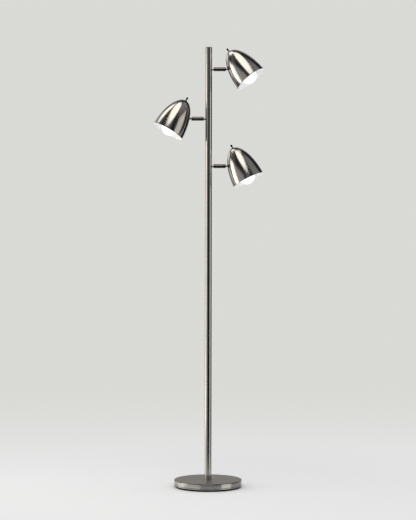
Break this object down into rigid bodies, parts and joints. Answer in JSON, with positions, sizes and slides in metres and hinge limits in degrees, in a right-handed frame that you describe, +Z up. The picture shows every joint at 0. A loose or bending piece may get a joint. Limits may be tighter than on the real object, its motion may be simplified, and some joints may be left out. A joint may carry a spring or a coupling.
{
  "type": "tree floor lamp",
  "caption": "Tree floor lamp: round weighted base, straight tube pole in screwed sections, short arms that swivel, and bullet shades that tilt, each with a turn knob on its tip.",
  "frame": {"origin": "centre of the base's underside, on the floor", "axes": "+Z up the pole, +X to the viewer's right along the upper and lower arms, -Y towards the viewer"},
  "size_m": [0.4153, 0.256, 1.651],
  "materials": {
    "brushed_nickel": "satin",
    "black_plastic": "matte",
    "cast_iron": "matte",
    "zinc_steel": "satin",
    "brass": "satin",
    "porcelain": "gloss",
    "frosted_glass": "matte"
  },
  "bodies": {
    "stand": {"base_pan": "black_plastic", "base_cover": "brushed_nickel", "base_weight": "cast_iron", "cord_gland": "black_plastic", "base_nipple": "zinc_steel", "base_washer": "zinc_steel", "base_locknut": "zinc_steel", "foot_insert": "zinc_steel", "pole_lower": "brushed_nickel", "lower_joint_stud": "zinc_steel", "lower_joint_socket": "zinc_steel", "pole_middle": "brushed_nickel", "upper_joint_stud": "zinc_steel", "upper_joint_socket": "zinc_steel", "pole_upper": "brushed_nickel", "pole_cap": "brushed_nickel", "arm_post_nuts": "zinc_steel", "spring_washers": "zinc_steel", "swivel_nuts": "zinc_steel", "arm_post_upper": "brushed_nickel", "arm_post_middle": "brushed_nickel", "arm_post_lower": "brushed_nickel"},
    "arm_upper": {"sleeve_upper": "brushed_nickel", "stem_upper": "brushed_nickel"},
    "head_upper": {"shade_upper": "brushed_nickel", "bracket_upper": "zinc_steel", "tilt_screw_upper": "zinc_steel", "switch_housing_upper": "black_plastic", "bush_nuts_upper": "brushed_nickel", "lampholder_upper": "porcelain", "contacts_upper": "brass", "bulb_glass_upper": "frosted_glass", "bulb_cap_upper": "zinc_steel"},
    "knob_upper": {"switch_knob_upper": "black_plastic"},
    "arm_middle": {"sleeve_middle": "brushed_nickel", "stem_middle": "brushed_nickel"},
    "head_middle": {"shade_middle": "brushed_nickel", "bracket_middle": "zinc_steel", "tilt_screw_middle": "zinc_steel", "switch_housing_middle": "black_plastic", "bush_nuts_middle": "brushed_nickel", "lampholder_middle": "porcelain", "contacts_middle": "brass", "bulb_glass_middle": "frosted_glass", "bulb_cap_middle": "zinc_steel"},
    "knob_middle": {"switch_knob_middle": "black_plastic"},
    "arm_lower": {"sleeve_lower": "brushed_nickel", "stem_lower": "brushed_nickel"},
    "head_lower": {"shade_lower": "brushed_nickel", "bracket_lower": "zinc_steel", "tilt_screw_lower": "zinc_steel", "switch_housing_lower": "black_plastic", "bush_nuts_lower": "brushed_nickel", "lampholder_lower": "porcelain", "contacts_lower": "brass", "bulb_glass_lower": "frosted_glass", "bulb_cap_lower": "zinc_steel"},
    "knob_lower": {"switch_knob_lower": "black_plastic"}
  },
  "joints": [
    {"name": "arm_upper_swivel", "type": "hinge", "parent": "stand", "child": "arm_upper", "pos_m": [0, 0, 1.5685], "axis": [1, 0, 0], "range_deg": [-159.3, 180.7]},
    {"name": "head_upper_tilt", "type": "hinge", "parent": "arm_upper", "child": "head_upper", "pos_m": [0.08, 0, 1.5685], "axis": [0, -0.9826, 0.1857], "range_deg": [-37.3, 12.7]},
    {"name": "knob_upper_turn", "type": "hinge", "parent": "head_upper", "child": "knob_upper", "pos_m": [0.07379, 0.01362, 1.64056], "axis": [-0.606, 0.1477, 0.7816], "continuous": true},
    {"name": "arm_middle_swivel", "type": "hinge", "parent": "stand", "child": "arm_middle", "pos_m": [0, 0, 1.3825], "axis": [-1, 0, 0], "range_deg": [-177, 163]},
    {"name": "head_middle_tilt", "type": "hinge", "parent": "arm_middle", "child": "head_middle", "pos_m": [-0.08, 0, 1.3825], "axis": [0, 0.9925, -0.1219], "range_deg": [-29.8, 20.2]},
    {"name": "knob_middle_turn", "type": "hinge", "parent": "head_middle", "child": "knob_middle", "pos_m": [-0.08342, 0.00896, 1.45547], "axis": [0.497, 0.1058, 0.8613], "continuous": true},
    {"name": "arm_lower_swivel", "type": "hinge", "parent": "stand", "child": "arm_lower", "pos_m": [0, 0, 1.2045], "axis": [1, 0, 0], "range_deg": [-163, 177]},
    {"name": "head_lower_tilt", "type": "hinge", "parent": "arm_lower", "child": "head_lower", "pos_m": [0.08, 0, 1.2045], "axis": [0, -0.9925, 0.1219], "range_deg": [-26.2, 23.8]},
    {"name": "knob_lower_turn", "type": "hinge", "parent": "head_lower", "child": "knob_lower", "pos_m": [0.08802, 0.00892, 1.27711], "axis": [-0.4415, 0.1093, 0.8906], "continuous": true}
  ]
}
